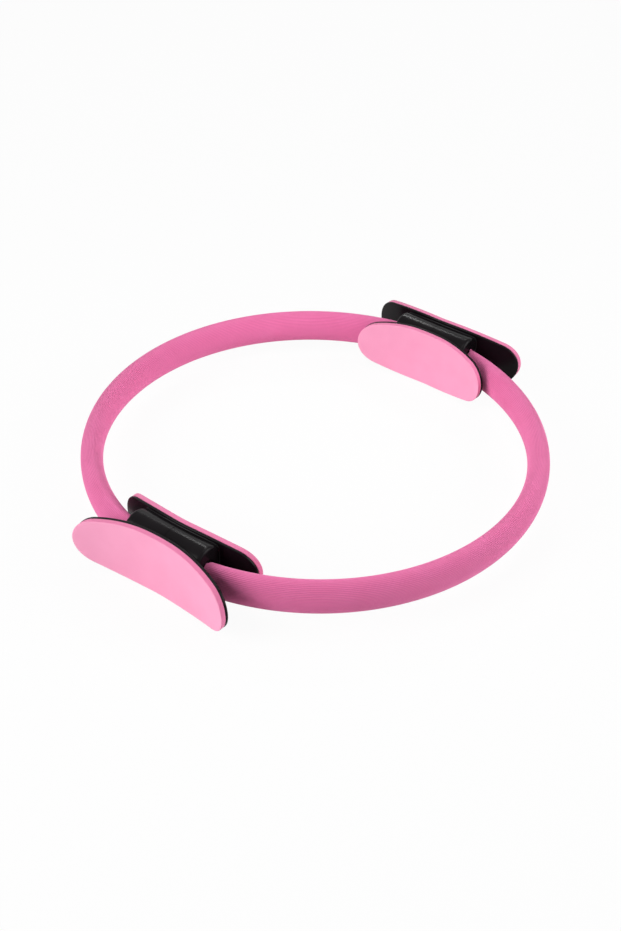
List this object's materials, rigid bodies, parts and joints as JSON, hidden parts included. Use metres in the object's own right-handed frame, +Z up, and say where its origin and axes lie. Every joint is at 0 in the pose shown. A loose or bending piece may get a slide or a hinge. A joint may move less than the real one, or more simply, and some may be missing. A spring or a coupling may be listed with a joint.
{
  "type": "pilates ring",
  "caption": "Flexible hoop in a ribbed foam sleeve with opposed handles, each a pair of flared padded plates, squeezed or pushed apart for resistance exercise.",
  "frame": {"origin": "on the surface that the ring lies on, under the middle of the hoop", "axes": "+X from the left handle to the right one, +Y to the back half of the hoop, +Z up"},
  "size_m": [0.391, 0.361, 0.0516],
  "materials": {
    "sleeve_foam": "matte",
    "pad_foam": "matte",
    "handle_plastic": "satin",
    "fibreglass": "satin",
    "pin_steel": "satin",
    "screw_steel": "satin"
  },
  "bodies": {
    "left_handle": {"left_outer_shell": "handle_plastic", "left_outer_pad": "pad_foam", "left_inner_shell": "handle_plastic", "left_inner_pad": "pad_foam", "left_strip_ends": "fibreglass", "left_dowel_pins": "pin_steel", "left_screws": "screw_steel"},
    "right_handle": {"right_outer_shell": "handle_plastic", "right_outer_pad": "pad_foam", "right_inner_shell": "handle_plastic", "right_inner_pad": "pad_foam", "right_strip_ends": "fibreglass", "right_dowel_pins": "pin_steel", "right_screws": "screw_steel"},
    "front_arc_1": {"front_sleeve_1": "sleeve_foam", "front_strips_1": "fibreglass"},
    "front_arc_2": {"front_sleeve_2": "sleeve_foam", "front_strips_2": "fibreglass"},
    "front_arc_3": {"front_sleeve_3": "sleeve_foam", "front_strips_3": "fibreglass"},
    "front_arc_4": {"front_sleeve_4": "sleeve_foam", "front_strips_4": "fibreglass"},
    "front_arc_5": {"front_sleeve_5": "sleeve_foam", "front_strips_5": "fibreglass"},
    "back_arc_1": {"back_sleeve_1": "sleeve_foam", "back_strips_1": "fibreglass"},
    "back_arc_2": {"back_sleeve_2": "sleeve_foam", "back_strips_2": "fibreglass"},
    "back_arc_3": {"back_sleeve_3": "sleeve_foam", "back_strips_3": "fibreglass"},
    "back_arc_4": {"back_sleeve_4": "sleeve_foam", "back_strips_4": "fibreglass"},
    "back_arc_5": {"back_sleeve_5": "sleeve_foam", "back_strips_5": "fibreglass"}
  },
  "joints": [
    {"name": "squeeze", "type": "hinge", "parent": "left_handle", "child": "front_arc_1", "pos_m": [-0.16679, -0.042, 0.0258], "axis": [0, 0, -1], "range_deg": [-5, 12], "stiffness_Nm_per_rad": 21},
    {"name": "front_bend_2", "type": "hinge", "parent": "front_arc_1", "child": "front_arc_2", "pos_m": [-0.13554, -0.10589, 0.0258], "axis": [0, 0, -1], "range_deg": [-2.2, 5.28], "stiffness_Nm_per_rad": 11},
    {"name": "front_bend_3", "type": "hinge", "parent": "front_arc_2", "child": "front_arc_3", "pos_m": [-0.06443, -0.15948, 0.0258], "axis": [0, 0, -1], "range_deg": [-17.28, 7.2], "stiffness_Nm_per_rad": 8},
    {"name": "front_bend_4", "type": "hinge", "parent": "front_arc_3", "child": "front_arc_4", "pos_m": [0.06443, -0.15948, 0.0258], "axis": [0, 0, -1], "range_deg": [-17.28, 7.2], "stiffness_Nm_per_rad": 8},
    {"name": "front_bend_5", "type": "hinge", "parent": "front_arc_4", "child": "front_arc_5", "pos_m": [0.13554, -0.10589, 0.0258], "axis": [0, 0, -1], "range_deg": [-2.2, 5.28], "stiffness_Nm_per_rad": 11},
    {"name": "front_bend_6", "type": "hinge", "parent": "front_arc_5", "child": "right_handle", "pos_m": [0.16679, -0.042, 0.0258], "axis": [0, 0, -1], "range_deg": [-5, 12], "stiffness_Nm_per_rad": 21},
    {"name": "back_bend_1", "type": "hinge", "parent": "left_handle", "child": "back_arc_1", "pos_m": [-0.16679, 0.042, 0.0258], "axis": [0, 0, 1], "range_deg": [-5, 12], "stiffness_Nm_per_rad": 21},
    {"name": "back_bend_2", "type": "hinge", "parent": "back_arc_1", "child": "back_arc_2", "pos_m": [-0.13554, 0.10589, 0.0258], "axis": [0, 0, 1], "range_deg": [-2.2, 5.28], "stiffness_Nm_per_rad": 11},
    {"name": "back_bend_3", "type": "hinge", "parent": "back_arc_2", "child": "back_arc_3", "pos_m": [-0.06443, 0.15948, 0.0258], "axis": [0, 0, 1], "range_deg": [-17.28, 7.2], "stiffness_Nm_per_rad": 8},
    {"name": "back_bend_4", "type": "hinge", "parent": "back_arc_3", "child": "back_arc_4", "pos_m": [0.06443, 0.15948, 0.0258], "axis": [0, 0, 1], "range_deg": [-17.28, 7.2], "stiffness_Nm_per_rad": 8},
    {"name": "back_bend_5", "type": "hinge", "parent": "back_arc_4", "child": "back_arc_5", "pos_m": [0.13554, 0.10589, 0.0258], "axis": [0, 0, 1], "range_deg": [-2.2, 5.28], "stiffness_Nm_per_rad": 11}
  ],
  "couplings": [
    {"joint": "front_bend_2", "follows": "squeeze", "ratio": 0.44},
    {"joint": "front_bend_3", "follows": "squeeze", "ratio": -1.44},
    {"joint": "front_bend_4", "follows": "squeeze", "ratio": -1.44},
    {"joint": "front_bend_5", "follows": "squeeze", "ratio": 0.44},
    {"joint": "front_bend_6", "follows": "squeeze", "ratio": 1},
    {"joint": "back_bend_1", "follows": "squeeze", "ratio": 1},
    {"joint": "back_bend_2", "follows": "squeeze", "ratio": 0.44},
    {"joint": "back_bend_3", "follows": "squeeze", "ratio": -1.44},
    {"joint": "back_bend_4", "follows": "squeeze", "ratio": -1.44},
    {"joint": "back_bend_5", "follows": "squeeze", "ratio": 0.44}
  ]
}
